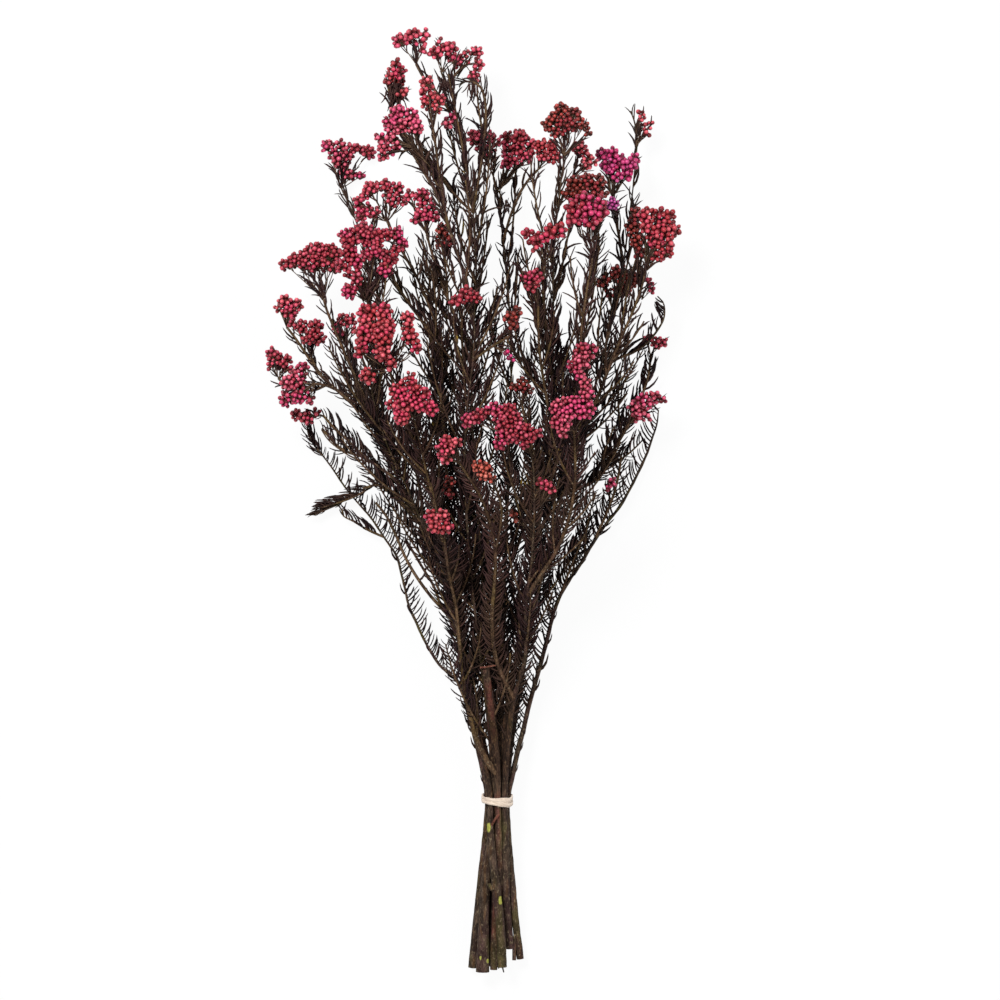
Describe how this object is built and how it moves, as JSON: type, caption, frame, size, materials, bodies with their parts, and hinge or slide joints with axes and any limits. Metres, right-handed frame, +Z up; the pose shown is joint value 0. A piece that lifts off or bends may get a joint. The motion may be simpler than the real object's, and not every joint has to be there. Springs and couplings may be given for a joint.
{
  "type": "bunch of preserved rice flower",
  "caption": "Long bunch of preserved rice flower lying flat: woody branching stems with needle leaves, clusters of small crimson and coral buds, held by a cotton tie.",
  "frame": {"origin": "on the table under the middle of the bunch: the centre of the bottom of its bounding box", "axes": "+Y from the cut ends to the flower tips, along the bunch; +Z up from the table; +X to the right when it is seen from above with the flowers away from the viewer"},
  "size_m": [0.2639, 0.5994, 0.1494],
  "materials": {
    "bark": "matte",
    "leaf": "matte",
    "cotton": "matte",
    "buds_crimson": "matte",
    "buds_rose": "matte",
    "buds_coral": "matte",
    "buds_magenta": "matte",
    "buds_russet": "matte",
    "buds_orange": "matte"
  },
  "bodies": {
    "root": {"cotton_tie": "cotton", "stem_01": "bark", "stem_02": "bark", "stem_03": "bark", "stem_04": "bark", "stem_05": "bark", "stem_06": "bark", "stem_07": "bark", "stem_08": "bark", "stem_09": "bark", "stem_10": "bark", "stem_11": "bark", "flower_head_01": "buds_crimson", "flower_head_02": "buds_crimson", "flower_head_03": "buds_crimson", "flower_head_04": "buds_russet", "flower_head_05": "buds_coral", "flower_head_06": "buds_rose", "flower_head_07": "buds_rose", "flower_head_08": "buds_crimson", "flower_head_09": "buds_crimson", "flower_head_10": "buds_rose", "flower_head_11": "buds_crimson", "flower_head_12": "buds_coral", "flower_head_13": "buds_crimson", "flower_head_14": "buds_crimson", "flower_head_15": "buds_crimson", "flower_head_16": "buds_rose", "flower_head_17": "buds_coral", "flower_head_18": "buds_coral", "flower_head_19": "buds_coral", "flower_head_20": "buds_crimson", "flower_head_21": "buds_crimson", "flower_head_22": "buds_crimson", "flower_head_23": "buds_russet", "flower_head_24": "buds_coral", "flower_head_25": "buds_coral", "flower_head_26": "buds_magenta", "flower_head_27": "buds_russet", "flower_head_28": "buds_rose", "flower_head_29": "buds_coral", "flower_head_30": "buds_coral", "flower_head_31": "buds_russet", "flower_head_32": "buds_crimson", "flower_head_33": "buds_russet", "flower_head_34": "buds_crimson", "flower_head_35": "buds_rose", "flower_head_36": "buds_rose", "flower_head_37": "buds_rose", "flower_head_38": "buds_rose", "flower_head_39": "buds_russet", "flower_head_40": "buds_coral", "flower_head_41": "buds_orange", "flower_head_42": "buds_coral", "leafy_shoot_far_left": "leaf", "leafy_shoot_left": "leaf", "leafy_shoot_right": "leaf", "leafy_shoot_curled": "leaf", "leafy_shoot_spire": "leaf", "leafy_shoot_hooked": "leaf"}
  },
  "joints": []
}
